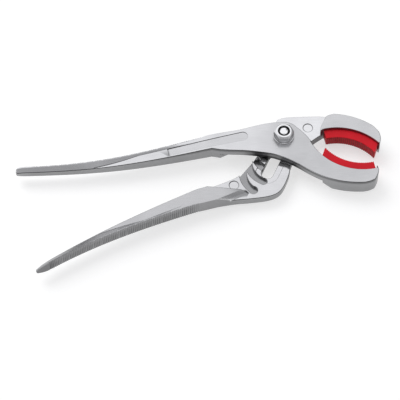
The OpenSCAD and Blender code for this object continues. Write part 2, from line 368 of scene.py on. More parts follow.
@dataclass(frozen=True)
class Relief:
    """The depth of a finish's fine relief, in metres, and its strength."""

    depth: float
    strength: float


@dataclass
class Surface(Wiring):
    """The wiring of a material with one Principled BSDF."""

    material: Material

    @classmethod
    def new(cls, name: str, metallic: float) -> "Surface":
        """Make a material.

        Args:
            name: Name of the material.
            metallic: 1 for metal, 0 for the rest.

        Returns:
            The material's wiring.
        """
        material = bpy.data.materials.new(name)
        material.use_nodes = True
        surface = cls(material.node_tree, material)
        surface.put(metallic, surface.shader("Metallic"))
        return surface

    def shader(self, name: str) -> Socket:
        """Return one of the shader's inputs."""
        return self.tree.nodes["Principled BSDF"].inputs[name]

    def coordinates(self) -> tuple[Socket, Socket]:
        """Return the place and the normal, both in object coordinates."""
        outputs = self.add("ShaderNodeTexCoord").outputs
        return outputs["Object"], outputs["Normal"]

    def facing(self, normal: Socket, span: Span) -> dict[str, Socket]:
        """Return how the surface faces, where Flat rises over the span of upward parts."""
        return self.place(facing_group(), Normal=normal, Low=span[0], High=span[1])

    def coat(self, colour: Socket, roughness: Socket, height: Socket, relief: Relief) -> Material:
        """Feed the shader.

        Args:
            colour: Base colour.
            roughness: Roughness.
            height: Height of the fine relief, about 0 to 1.
            relief: Depth and strength of the relief.

        Returns:
            The finished material.
        """
        bump = self.add("ShaderNodeBump")
        self.put(height, bump.inputs["Height"])
        self.put(relief.depth, bump.inputs["Distance"])
        self.put(relief.strength, bump.inputs["Strength"])
        self.put(colour, self.shader("Base Color"))
        self.put(roughness, self.shader("Roughness"))
        self.put(bump.outputs["Normal"], self.shader("Normal"))
        return self.material


@dataclass(frozen=True)
class Tone:
    """The grey of upward faces that lie above a height."""

    level: float
    above: float = 0.0


@dataclass(frozen=True)
class PlatedSteel:
    """Nickel plating on a forging: ground faces bright and fine-lined, walls rougher and darker.

    The walls' darker grey is partly a duller finish and partly painted shade. Upward faces take
    the tone of their height, and its fades, several of which are painted shade, and downward
    faces are painted darker as shade. The mesh's hollow attribute puts painted shade in the
    valleys between serrations, and its foot attribute at the feet of walls and of slopes. A
    painted line of shade runs round each coined disc. A span says where a mask starts and where
    it would be full, and a shade is the share of the valleys' painted grey.
    """

    name: str
    tones: tuple[Tone, ...]
    fades: tuple[Fade, ...]
    tone_step: float = 0.3 * MM
    # Painted shade: the grey of faces that point down.
    under_shade: float = 0.60
    # Painted shade: a dark line round each coined disc, at its edge, with its radius and grey.
    coin_shade_lines: tuple[Place, ...] = ()
    coin_shade_radius: float = 3.3 * MM
    coin_shade_level: float = 0.14
    # Painted shade, and a stand-in for the missing lettering: the darker grey of the recessed
    # floor.
    recess_shade: float | None = None
    recess_foot: Span = (0.96, 0.99)
    # Wall greys: the plain one is partly a duller finish and partly painted shade; those high on
    # the walls and near the pivot are painted shade and reflection.
    wall: float = 0.33
    wall_fades: tuple[Fade, ...] = ()
    wall_top: float = 0.33
    wall_top_above: float = 13.2 * MM
    wall_top_step: float = 1 * MM
    joint_wall: float = 0.17
    joint_wall_high: float = 0.17
    joint_wall_above: float = 11.8 * MM
    joint_span: Span = (34 * MM, 24 * MM)
    handle_span: Span = (-56 * MM, -66 * MM)
    # Painted shade: the dark grey of valleys between teeth, of feet and of creases.
    valley_shade: float = 0.09
    teeth_span: Span = (12.5 * MM, 9.5 * MM)
    teeth_shades: Span = (0.3, 0.9)
    flat_teeth_shade: float = 0.75
    foot_span: Span = (0.3, 1.4)
    crease_foot: Span = (0.80, 0.97)
    crease_lean: Span = (0.985, 0.95)
    flat_lean: Span = (0.12, 0.3)
    streak_depth: float = 0.20
    flat_roughness: float = 0.25
    joint_roughness: float = 0.25
    wall_roughness: float = 0.38
    roughness_spread: float = 0.12
    relief: Relief = Relief(0.04 * MM, 0.5)

    def tops(self, surface: Surface, place: Socket, foot: Socket) -> Socket:
        """Colour the upward faces, with painted shade round the coined discs, on the recessed floor
        and in some fades.

        Args:
            surface: The material's wiring.
            place: Object coordinates.
            foot: The mesh's foot attribute.

        Returns:
            The colour.
        """
        parts = surface.split(place)
        colour = grey(self.tones[0].level)
        for tone in self.tones[1:]:
            share = surface.step(parts["Z"], tone.above, self.tone_step)
            colour = surface.mix(share, colour, grey(tone.level))
        colour = surface.faded(colour, parts, self.fades)
        # Painted shade: a dark line round each coined disc, at its edge.
        for x, y in self.coin_shade_lines:
            inputs = {"Vector": place, "Centre": (x, y, 0.0), "Radius": self.coin_shade_radius}
            line = surface.place(ring_group(), **inputs)["Line"]
            colour = surface.mix(line, colour, grey(self.coin_shade_level))
        # The recessed floor is painted darker: shade in the sunken panel, and a stand-in for its
        # missing lettering.
        if self.recess_shade:
            share = surface.between(foot, *self.recess_foot)
            colour = surface.mix(share, colour, grey(self.recess_shade))
        return colour

    def walls(self, surface: Surface, place: Socket, near: Socket, low: Socket) -> Socket:
        """Colour the walls, with painted shade near the pivot, high up and in the valleys.

        Args:
            surface: The material's wiring.
            place: Object coordinates.
            near: How near the pivot it is, 0 to 1.
            low: Share of the valleys' painted shade.

        Returns:
            The colour.
        """
        parts = surface.split(place)
        # Painted shade and reflection: the grey high on the walls and near the pivot. The plain
        # wall grey is partly a duller finish and partly painted shade.
        high = surface.step(parts["Z"], self.wall_top_above, self.wall_top_step)
        colour = surface.mix(high, grey(self.wall), grey(self.wall_top))
        upper = surface.step(parts["Z"], self.joint_wall_above, self.tone_step)
        joint = surface.mix(upper, grey(self.joint_wall), grey(self.joint_wall_high))
        colour = surface.mix(surface.math("MULTIPLY", near, surface.rest(high)), colour, joint)
        return surface.faded(surface.mix(low, colour, grey(self.valley_shade)), parts, self.wall_fades)

    def material(self) -> Material:
        """Build the material.

        Returns:
            The material.
        """
        surface = Surface.new(self.name, metallic=1.0)
        place, normal = surface.coordinates()
        parts = surface.split(place)
        streaks = surface.place(streak_group(), Vector=place)
        facing = surface.facing(normal, self.flat_lean)
        flat, foot = facing["Flat"], surface.attribute("foot")
        near = surface.between(surface.vector("LENGTH", place), *self.joint_span)
        on_handle = surface.between(parts["X"], *self.handle_span)
        # Painted shade: the valleys between the handle's teeth, the feet of walls and slopes, and
        # the creases on the handle's slopes are mixed toward the dark grey of the valleys.
        hollow = surface.math("MULTIPLY", surface.attribute("hollow"), on_handle)
        shade = surface.blend(surface.between(parts["Z"], *self.teeth_span), *self.teeth_shades)
        teeth = surface.math("MULTIPLY", hollow, shade)
        low = surface.math("MAXIMUM", teeth, surface.between(foot, *self.foot_span))
        slope = surface.facing(normal, self.crease_lean)["Flat"]
        crease_shade = surface.math("MULTIPLY", surface.between(foot, *self.crease_foot), slope)
        crease_shade = surface.math("MULTIPLY", crease_shade, on_handle)
        notch_shade = surface.math("MULTIPLY", hollow, self.flat_teeth_shade)
        # Faces that point down are painted darker, as shade.
        face = surface.mix(facing["Up"], grey(self.under_shade), self.tops(surface, place, foot))
        face = surface.mix(surface.math("MAXIMUM", crease_shade, notch_shade), face, grey(self.valley_shade))
        colour = surface.mix(flat, self.walls(surface, place, near, low), face)
        gloss = surface.varied(1.0, streaks["Lines"], -self.streak_depth)
        gloss = surface.varied(gloss, streaks["Patches"], -self.streak_depth)
        rough = surface.blend(near, self.flat_roughness, self.joint_roughness)
        rough = surface.blend(flat, self.wall_roughness, rough)
        rough = surface.varied(rough, streaks["Patches"], self.roughness_spread)
        height = surface.blend(flat, streaks["Pits"], streaks["Lines"])
        return surface.coat(surface.vector("SCALE", colour, gloss), rough, height, self.relief)


@dataclass(frozen=True)
class EdgeShadeAndNicks:
    """Plating on an edge that was broken and rubbed smooth, with small nicks.

    Its grey is painted light: dark where the edge faces one way, and all over on the handles, as
    painted reflection and shade, and pale elsewhere.
    """

    name: str = "edge_shade_and_nicks"
    bright: float = 0.55
    dark: float = 0.07
    # Painted reflection and shade: edges facing this way are painted dark.
    toward_shade: Point = (0.95, -0.3, 0.0)
    dark_span: Span = (-0.15, 0.12)
    handle_span: Span = (-60 * MM, -100 * MM)
    pits_per_metre: float = 420.0
    nick_span: Span = (0.5, 0.72)
    nick_level: float = 0.65
    nick_roughness: float = 0.15
    roughness: float = 0.2
    relief: Relief = Relief(0.03 * MM, 0.3)

    def material(self) -> Material:
        """Build the material.

        Returns:
            The material.
        """
        surface = Surface.new(self.name, metallic=1.0)
        place, normal = surface.coordinates()
        streaks = surface.place(streak_group(), Vector=place, Pits_per_Metre=self.pits_per_metre)
        # Painted reflection and shade: the edge's grey goes dark by which way it faces, and on the
        # handles.
        turned_away = surface.vector("DOT_PRODUCT", normal, self.toward_shade)
        on_handle = surface.between(surface.split(place)["X"], *self.handle_span)
        side = surface.math("MAXIMUM", surface.between(turned_away, *self.dark_span), on_handle)
        nicks = surface.between(streaks["Pits"], *self.nick_span)
        colour = surface.mix(side, grey(self.bright), grey(self.dark))
        colour = surface.dimmed(colour, nicks, self.nick_level)
        rough = surface.math("MULTIPLY_ADD", nicks, self.nick_roughness, self.roughness)
        return surface.coat(colour, rough, streaks["Pits"], self.relief)


@dataclass(frozen=True)
class FastenerSteel:
    """Bright plating on turned parts: flat faces shine, cones and sides are painted darker.

    Its greys are painted light by facing: cones a little darker, sides and downward faces dark as
    shade, and sides that face -Y bright as a reflection. A ring of painted shade lies in the gap
    round the bolt's end, except at the back.
    """

    name: str = "fastener_plating"
    # Greys painted by facing: cones a little darker, sides and downward faces dark as shade, sides
    # facing -Y bright as a reflection.
    flat: float = 0.90
    flat_lean: Span = (0.9, 0.98)
    cone: float = 0.75
    cone_lean: Span = (0.0, 0.25)
    side: float = 0.16
    front_side_sheen: float = 0.90
    near_span: Span = (-0.7, -0.9)
    under_shade: float = 0.12
    # Painted shade: the grey in the gap round the bolt's end, and where that ring lies.
    gap_shade: float = 0.06
    seam_radius: float = 3.25 * MM
    seam_half: float = 0.85 * MM
    seam_heights: Span = (15 * MM, 16 * MM)
    seam_back: Span = (3.5 * MM, -1 * MM)
    seam_span: Span = (0.15, 0.6)
    squeeze: Point = (300.0, 300.0, 3000.0)
    patch_depth: float = 0.2
    roughness: float = 0.17
    roughness_spread: float = 0.12
    relief: Relief = Relief(0.02 * MM, 0.35)

    def gap_shade_mask(self, surface: Surface, place: Socket) -> Socket:
        """Find the ring of painted shade in the gap round the bolt's end.

        Args:
            surface: The material's wiring.
            place: Object coordinates.

        Returns:
            Its mask, 0 to 1.
        """
        parts = surface.split(place)
        inputs = {"Vector": place, "Radius": self.seam_radius, "Half_Width": self.seam_half}
        line = surface.place(ring_group(), **inputs)["Line"]
        high = surface.between(parts["Z"], *self.seam_heights)
        shown = surface.math("MULTIPLY", high, surface.between(parts["Y"], *self.seam_back))
        return surface.between(surface.math("MULTIPLY", line, shown), *self.seam_span)

    def material(self) -> Material:
        """Build the material.

        Returns:
            The material.
        """
        surface = Surface.new(self.name, metallic=1.0)
        place, normal = surface.coordinates()
        streaks = surface.place(streak_group(), Vector=place, Squeeze=self.squeeze)
        facing = surface.facing(normal, self.flat_lean)
        # Painted light by facing: sides toward -Y bright as a reflection, other sides and downward
        # faces dark as shade.
        near = surface.between(surface.split(normal)["Y"], *self.near_span)
        upright = surface.mix(near, grey(self.side), grey(self.front_side_sheen))
        slanted = surface.mix(facing["Up"], grey(self.under_shade), grey(self.cone))
        side = surface.mix(surface.facing(normal, self.cone_lean)["Flat"], upright, slanted)
        colour = surface.mix(facing["Flat"], side, grey(self.flat))
        # Painted shade in the gap round the bolt's end, left out at the back.
        colour = surface.mix(self.gap_shade_mask(surface, place), colour, grey(self.gap_shade))
        gloss = surface.varied(1.0, streaks["Patches"], -self.patch_depth)
        rough = surface.varied(self.roughness, streaks["Lines"], self.roughness_spread)
        colour = surface.vector("SCALE", colour, gloss)
        return surface.coat(colour, rough, streaks["Lines"], self.relief)


@dataclass(frozen=True)
class MouldedPlastic:
    """Satin moulded plastic with a fine grain, with painted shade between its teeth."""

    name: str = "moulded_red"
    colour: Colour = (0.68, 0.006, 0.018)
    worn: Colour = (0.60, 0.005, 0.014)
    worn_span: Span = (0.35, 0.75)
    valley_shade: Colour = (0.30, 0.003, 0.006)
    flat_lean: Span = (0.3, 0.6)
    grains_per_metre: float = 2600.0
    roughness: float = 0.5
    roughness_spread: float = 0.16
    shine: float = 0.25
    relief: Relief = Relief(0.03 * MM, 0.4)

    def material(self) -> Material:
        """Build the material.

        Returns:
            The material.
        """
        surface = Surface.new(self.name, metallic=0.0)
        surface.put(self.shine, surface.shader("Specular IOR Level"))
        place, normal = surface.coordinates()
        grain = surface.place(streak_group(), Vector=place, Pits_per_Metre=self.grains_per_metre)
        upright = surface.rest(surface.facing(normal, self.flat_lean)["Flat"])
        # Painted shade between the teeth: upright faces at the hollow vertices take a dark red.
        valley_shade = surface.math("MULTIPLY", surface.attribute("hollow"), upright)
        worn = surface.between(grain["Patches"], *self.worn_span)
        colour = surface.mix(valley_shade, surface.mix(worn, self.colour, self.worn), self.valley_shade)
        rough = surface.varied(self.roughness, grain["Pits"], self.roughness_spread)
        return surface.coat(colour, rough, grain["Pits"], self.relief)


# Meshes


@dataclass(frozen=True)
class EdgeTable:
    """What the edges of a mesh are like, as arrays with one row for each edge.

    Its columns are the end points, the slope along the edge, the sizes of its two neighbours'
    upward normals with the smaller first, the sum of their normals, the angle between them in
    degrees, and whether the edge is convex.
    """

    ends: Array
    rise: Array
    lean: Array
    facing: Array
    turn: Array
    convex: Array

    @classmethod
    def of(cls, mesh: BMesh) -> "EdgeTable":
        """Measure the edges of a closed mesh.

        Args:
            mesh: The mesh.

        Returns:
            The table.
        """
        ends = np.array([[v.co[:] for v in e.verts] for e in mesh.edges])
        normals = np.array([[f.normal[:] for f in e.link_faces] for e in mesh.edges])
        way = ends[:, 1] - ends[:, 0]
        return cls(
            ends=ends,
            rise=np.abs(way[:, 2]) / np.maximum(np.linalg.norm(way, axis=1), 0.001 * MM),
            lean=np.sort(np.abs(normals[:, :, 2]), axis=1),
            facing=normals.sum(axis=1),
            turn=np.degrees(np.array([e.calc_face_angle() for e in mesh.edges])),
            convex=np.array([e.is_convex for e in mesh.edges]),
        )

    def valleys(self, turn: float = 20) -> Array:
        """Return the mask of the steep concave edges, such as those between teeth."""
        return ~self.convex & (self.turn > turn) & (self.rise > STEEP_RISE)

    def feet(self, turn: float = 15) -> Array:
        """Return the mask of the concave edges that run level or nearly so."""
        return ~self.convex & (self.turn > turn) & (self.rise < STEEP_RISE)

    def rims(self, turn: float = 35, rise: float = 0.7, lean: float = 0.4) -> Array:
        """Return the mask of the convex edges between a wall and a face above or below it."""
        sides = (self.lean[:, 0] < WALL_LEAN) & (self.lean[:, 1] > lean)
        return self.convex & (self.turn > turn) & (self.rise < rise) & sides


def link_mesh(name: str, data: Mesh, *materials: Material) -> Piece:
    """Put a mesh into the scene.

    Args:
        name: Name of the piece.
        data: Its mesh, already in its place.
        *materials: Its materials.

    Returns:
        The object.
    """
    data.materials.clear()
    for material in materials:
        data.materials.append(material)
    piece = bpy.data.objects.new(name, data)
    bpy.context.scene.collection.objects.link(piece)
    return piece


def even_normals(piece: Piece) -> None:
    """Make a piece's smooth shading follow its larger faces.

    Args:
        piece: The piece.
    """
    modifier = piece.modifiers.new("normals", "WEIGHTED_NORMAL")
    modifier.keep_sharp = True
    modifier.weight = 90


@dataclass(frozen=True)
class Sliver:
    """A thin leftover of the solid that is trimmed to the floor it stands on."""

    centre: Place
    reach: float
    floor: float

    def trim(self, points: Array) -> Array:
        """Trim a piece's points.

        A point above the floor and within reach of the centre is lowered to the floor.

        Args:
            points: Array of shape (points, 3).

        Returns:
            The trimmed points.
        """
        x, y, z = points.T
        inside = (z > self.floor) & (np.hypot(x - self.centre[0], y - self.centre[1]) < self.reach)
        return np.stack([x, y, np.where(inside, self.floor, z)], axis=-1)


@dataclass(frozen=True)
class SlimTip:
    """The end of a handle, drawn in toward the handle's middle line, which lies at a height.

    back is the direction from the end along the handle, as an angle from +X.
    """

    end: Place
    back: float
    reach: float
    share: float
    shorter: float
    middle: float

    def trim(self, points: Array) -> Array:
        """Draw in a handle's points near its end.

        With t rising from 0 at the reach to 1 at the end, a point keeps 1 - (1 - share) t^2 of
        its distance from the middle line, and moves back along it by t^2 of the shortening.

        Args:
            points: Array of shape (points, 3).

        Returns:
            The points, drawn in.
        """
        way = np.array([math.cos(self.back), math.sin(self.back)])
        offset = points[:, :2] - np.array(self.end)
        along = (offset @ way)[:, None]
        across = offset - along * way
        bend = np.clip(1 - along / self.reach, 0, 1) ** 2
        keep = 1 - (1 - self.share) * bend
        plan = np.array(self.end) + (along + self.shorter * bend) * way + keep * across
        return np.concatenate([plan, self.middle + keep * (points[:, 2:] - self.middle)], axis=1)


def refill_flats(mesh: BMesh, height_step: float = 0.01 * MM, one_sided: float = 0.98) -> None:
    """Fill each level face of a rounded mesh afresh, so that no thin triangle is turned over.

    The triangles of one height that are no part of a rounded edge are taken out, and their
    common outline, with its holes, is filled with new ones that face the way most of them did.
    Where those of one height face both ways, they are left as they are.

    Args:
        mesh: The mesh, whose rounded edges have a material index above 0 or are not level.
        height_step: How far apart two heights are told apart.
        one_sided: Least share of the area that faces one way.
    """
    heights: dict[int, list[bmesh.types.BMFace]] = {}
    for face in mesh.faces:
        if abs(face.normal.z) > LEVEL and face.material_index == 0:
            heights.setdefault(round(face.calc_center_median().z / height_step), []).append(face)
    for faces in heights.values():
        up = sum(f.calc_area() * f.normal.z for f in faces)
        if abs(up) < one_sided * sum(f.calc_area() for f in faces):
            continue
        chosen = set(faces)
        outline = [e for f in faces for e in f.edges if sum(g in chosen for g in e.link_faces) == 1]
        bmesh.ops.delete(mesh, geom=faces, context="FACES_KEEP_BOUNDARY")
        normal = Vector((0, 0, math.copysign(1, up)))
        made = bmesh.ops.triangle_fill(mesh, use_beauty=True, edges=outline, normal=normal)["geom"]
        for face in (part for part in made if isinstance(part, bmesh.types.BMFace)):
            face.smooth = True
            if face.normal.z * up < 0:
                face.normal_flip()


def clean_copy(
    node: str,
    trims: tuple[Sliver | SlimTip, ...],
    merged: float = 0.02 * MM,
    thinnest: float = 0.013 * MM,
) -> BMesh:
    """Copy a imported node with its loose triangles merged.

    What is trimmed is trimmed first. Then doubles are merged, needle-thin triangles are
    dissolved, and the level faces get triangles of a better shape.

    Args:
        node: The node to copy.
        trims: What is trimmed.
        merged: How near each other two points are merged.
        thinnest: How thin a triangle is dissolved.

    Returns:
        The copy.
    """
    mesh = bmesh.new()
    mesh.from_mesh(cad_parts[node].data)
    points = np.array([v.co[:] for v in mesh.verts])
    for trim in trims:
        points = trim.trim(points)
    for vertex, point in zip(mesh.verts, points.tolist()):
        vertex.co = point
    bmesh.ops.remove_doubles(mesh, verts=mesh.verts, dist=merged)
    bmesh.ops.dissolve_degenerate(mesh, edges=mesh.edges, dist=thinnest)
    faces = [f for f in mesh.faces if abs(f.normal.z) > EXACTLY_LEVEL]
    edges = [e for e in mesh.edges if all(abs(f.normal.z) > EXACTLY_LEVEL for f in e.link_faces)]
    bmesh.ops.beautify_fill(mesh, faces=faces, edges=edges, method="ANGLE")
    mesh.normal_update()
    mesh.verts.index_update()
    return mesh


def mark_edges(
    mesh: BMesh, edges: EdgeTable, shares: Array, wall_turn: float = 16, turn: float = 10
) -> None:
    """Mark which edges are rounded and smooth, and which vertices are hollow or a foot.

    The hollow attribute is 1 at the ends of steep concave edges, the foot attribute is 1 at
    the ends of level ones that touch no rim, and both are 0 elsewhere. The materials paint shade
    where they are 1, and with a foot on a rim, the rim's rounded edge would take that painted
    shade.

    Args:
        mesh: The mesh.
        edges: Its edges.
        shares: Rounding of each edge as a share of the largest.
        wall_turn: How many degrees a smooth edge between two walls may turn.
        turn: How many degrees any other smooth edge may turn.
    """
    weights = mesh.edges.layers.float.new("bevel_weight_edge")
    limits = np.where(edges.lean[:, 1] < WALL_LEAN, wall_turn, turn)
    smooth = (shares > 0) | (edges.turn < limits)
    for edge, share, is_smooth in zip(mesh.edges, shares, smooth):
        edge[weights] = float(share)
        edge.smooth = bool(is_smooth)
    valleys, feet, rims = (
        {v.index for e, chosen in zip(mesh.edges, mask) if chosen for v in e.verts}
        for mask in (edges.valleys(), edges.feet(), edges.rims())
    )
    for label, chosen in (("hollow", valleys), ("foot", feet - rims)):
        layer = mesh.verts.layers.float.new(label)
        for vertex in mesh.verts:
            vertex[layer] = float(vertex.index in chosen)
    for face in mesh.faces:
        face.smooth = True


def rounded_copy(
    node: str,
    name: str,
    radius_of: Callable[[EdgeTable], Array],
    *materials: Material,
    trims: tuple[Sliver | SlimTip, ...] = (),
) -> Piece:
    """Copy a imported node, with its sharp edges rounded.

    Args:
        node: The node to copy.
        name: Name of the new piece.
        radius_of: Gives the rounding of each edge, in metres, from the table of edges.
        *materials: Material of the piece, and of its rounded edges where it differs.
        trims: What is trimmed first.

    Returns:
        The new piece, whose smooth shading is even.
    """
    mesh = clean_copy(node, trims)
    edges = EdgeTable.of(mesh)
    radius = radius_of(edges)
    mark_edges(mesh, edges, radius / radius.max())
    data = bpy.data.meshes.new(name)
    mesh.to_mesh(data)
    mesh.free()
    piece = link_mesh(name, data, *materials)
    bevel = piece.modifiers.new("rounding", "BEVEL")
    bevel.limit_method = "WEIGHT"
    bevel.width = radius.max()
    bevel.segments = 3
    bevel.use_clamp_overlap = False
    bevel.miter_outer = "MITER_ARC"
    bevel.material = len(materials) - 1
    shaped = bmesh.new()
    shaped.from_object(piece, bpy.context.evaluated_depsgraph_get())
    refill_flats(shaped)
    piece.modifiers.clear()
    shaped.to_mesh(piece.data)
    shaped.free()
    even_normals(piece)
    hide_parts(node)
    return piece


def grid_mesh(name: str, points: Array, closed: bool) -> Mesh:
    """Make a mesh from a grid of points, joined round its first parameter.

    Args:
        name: Name of the mesh.
        points: Array of shape (round, along, 3), counter-clockwise as seen from the far end.
        closed: Whether one face closes each end. Otherwise the last row meets the first.

    Returns:
        The mesh.
    """
    rounds, alongs = points.shape[:2]
    i, j = np.meshgrid(np.arange(rounds), np.arange(alongs - 1), indexing="ij")
    turned = (i + 1) % rounds
    corners = ((i, j), (turned, j), (turned, j + 1), (i, j + 1))
    faces = np.stack([a * alongs + b for a, b in corners], axis=-1).reshape(-1, 4).tolist()
    if closed:
        first = np.arange(rounds) * alongs
        faces += [first[::-1].tolist(), (first + alongs - 1).tolist()]
    data = bpy.data.meshes.new(name)
    data.from_pydata(points.reshape(-1, 3).tolist(), [], faces)
    mesh = bmesh.new()
    mesh.from_mesh(data)
    bmesh.ops.remove_doubles(mesh, verts=mesh.verts, dist=0.001 * MM)
    bmesh.ops.recalc_face_normals(mesh, faces=mesh.faces)
    mesh.to_mesh(data)
    mesh.free()
    data.shade_smooth()
    return data


@dataclass
class Profile:
    """A profile of radius and height that may change with the angle round the Z axis."""

    angles: Array
    corners: list[tuple[object, object, float]]
    steps: int = 4
    longest: float = 0.45

    def rows(self) -> Array:
        """Round the profile's corners.

        Each corner is a radius, a height and a distance. It gives way to a parabola that
        touches both of its sides at that distance from it, or at the longest share of the
        side, whichever is nearer.

        Returns:
            Array of shape (round, points, 2).
        """
        one = np.ones_like(self.angles)
        places = [np.stack([one * r, one * z], axis=-1) for r, z, _ in self.corners]
        corners = np.stack(places, axis=1)
        cut = np.array([distance for _, _, distance in self.corners])[None, :, None]
        before = np.concatenate([corners[:, :1], corners[:, :-1]], axis=1)
        after = np.concatenate([corners[:, 1:], corners[:, -1:]], axis=1)

        def toward(other: Array) -> Array:
            """Find the points at the cut distance on the way to other corners.

            Args:
                other: The other corners.

            Returns:
                The points.
            """
            way = other - corners
            length = np.maximum(np.linalg.norm(way, axis=-1, keepdims=True), 1e-9)
            return corners + way / length * np.minimum(cut, self.longest * length)

        t = np.linspace(0, 1, self.steps + 1)[None, None, :, None]
        first, last = toward(before)[:, :, None], toward(after)[:, :, None]
        middle = corners[:, :, None]
        curve = (1 - t) ** 2 * first + 2 * t * (1 - t) * middle + t**2 * last
        return curve.reshape(len(corners), -1, 2)


def turned(name: str, angles: Array, rows: Array, closed: bool = True) -> Mesh:
    """Make a mesh from rows of radius and height round the Z axis.

    Args:
        name: Name of the mesh.
        angles: Angle of each row, in radians.
        rows: Array of shape (round, along, 2).
        closed: Whether one face closes each end. Otherwise the last point meets the first.

    Returns:
        The mesh.
    """
    radius, height, angle = rows[..., 0], rows[..., 1], angles[:, None]
    points = np.stack([radius * np.cos(angle), radius * np.sin(angle), height], axis=-1)
    return grid_mesh(name, points, closed)


# Sub-assemblies


@dataclass
class Panel:
    """The bare recessed panel on the front lever's handle.

    It runs from its round end at an angle from +X, and side and back say how far its rim
    reaches past its middle line and behind its start, in widths.
    """

    start: Place = (-28 * MM, -0.3 * MM)
    angle: float = math.radians(193.8)
    length: float = 56 * MM
    width: float = 6.6 * MM
    side: float = 0.53
    back: float = 0.6

    def holds(self, x: Array, y: Array) -> Array:
        """Tell which points lie on the panel or its rim.

        Args:
            x: Their X.
            y: Their Y.

        Returns:
            A mask.
        """
        dx, dy = x - self.start[0], y - self.start[1]
        along = dx * math.cos(self.angle) + dy * math.sin(self.angle)
        across = np.abs(dy * math.cos(self.angle) - dx * math.sin(self.angle))
        beside = across < self.side * self.width
        return beside & (along > -self.back * self.width) & (along < self.length)


@dataclass
class Lever:
    """A forged lever, which carries one jaw, the joint plate and one handle.

    The teeth of its handle face along Y, toward teeth_side.
    """

    node: str
    body: Body
    finish: PlatedSteel
    edge: EdgeShadeAndNicks
    jaw_centre: Place
    teeth_side: float
    panel: Panel | None = None
    trims: tuple[Sliver | SlimTip, ...] = ()
    edge_rounding: float = 0.32 * MM
    fine_rounding: float = 0.18 * MM
    seat_radius: float = 38.8 * MM
    seat_margin: float = 1 * MM
    seat_start: float = 24 * MM
    teeth_start: float = -44 * MM
    teeth_above: float = 9.8 * MM

    def rounding(self, edges: EdgeTable) -> Array:
        """Choose how far each edge is rounded: less round the seat and the panel than elsewhere.

        Args:
            edges: The lever's edges.

        Returns:
            The rounding of each edge, in metres.
        """
        x, y, z = edges.ends.mean(axis=1).T
        on_panel = self.panel.holds(x, y) if self.panel else np.zeros(len(x), dtype=bool)
        toothed = (x < self.teeth_start) & (edges.facing[:, 1] * self.teeth_side > 0) & ~on_panel
        rims = edges.rims() & ~(toothed & (z > self.teeth_above))
        away = np.hypot(x - self.jaw_centre[0], y - self.jaw_centre[1])
        on_seat = (x > self.seat_start) & (np.abs(away - self.seat_radius) < self.seat_margin)
        radius = np.where(on_panel | on_seat, self.fine_rounding, self.edge_rounding)
        return np.where(rims, radius, 0)

    def build(self) -> Piece:
        """Build the lever.

        Returns:
            The finished piece.
        """
        name, materials = f"{self.node}_forging", (self.finish.material(), self.edge.material())
        piece = rounded_copy(self.node, name, self.rounding, *materials, trims=self.trims)
        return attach(piece, self.body.value)


@dataclass
class JawInsert:
    """A moulded insert with teeth on its inner face, curved about a centre."""

    node: str
    body: Body
    finish: MouldedPlastic
    centre: Place
    rim_rounding: float = 0.25 * MM
    end_rounding: float = 1.1 * MM
    end_angle: float = math.radians(1.2)
    sharp_turn: float = 60

    def rounding(self, edges: EdgeTable) -> Array:
        """Round the insert's rims a little and its upright end edges more.

        Args:
            edges: The insert's edges.

        Returns:
            The rounding of each edge, in metres.
        """
        x, y = (edges.ends.mean(axis=1)[:, :2] - self.centre).T
        angle = np.arctan2(y * np.sign(y.mean()), x * np.sign(y.mean()))
        sharp = edges.convex & (edges.turn > self.sharp_turn)
        ends = (angle > angle.max() - self.end_angle) | (angle < angle.min() + self.end_angle)
        radius = np.where(edges.rise < STEEP_RISE, self.rim_rounding, ends * self.end_rounding)
        return np.where(sharp, radius, 0)

    def build(self) -> Piece:
        """Build the insert.

        Returns:
            The finished piece.
        """
        material = self.finish.material()
        piece = rounded_copy(self.node, f"{self.node}_moulding", self.rounding, material)
        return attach(piece, self.body.value)


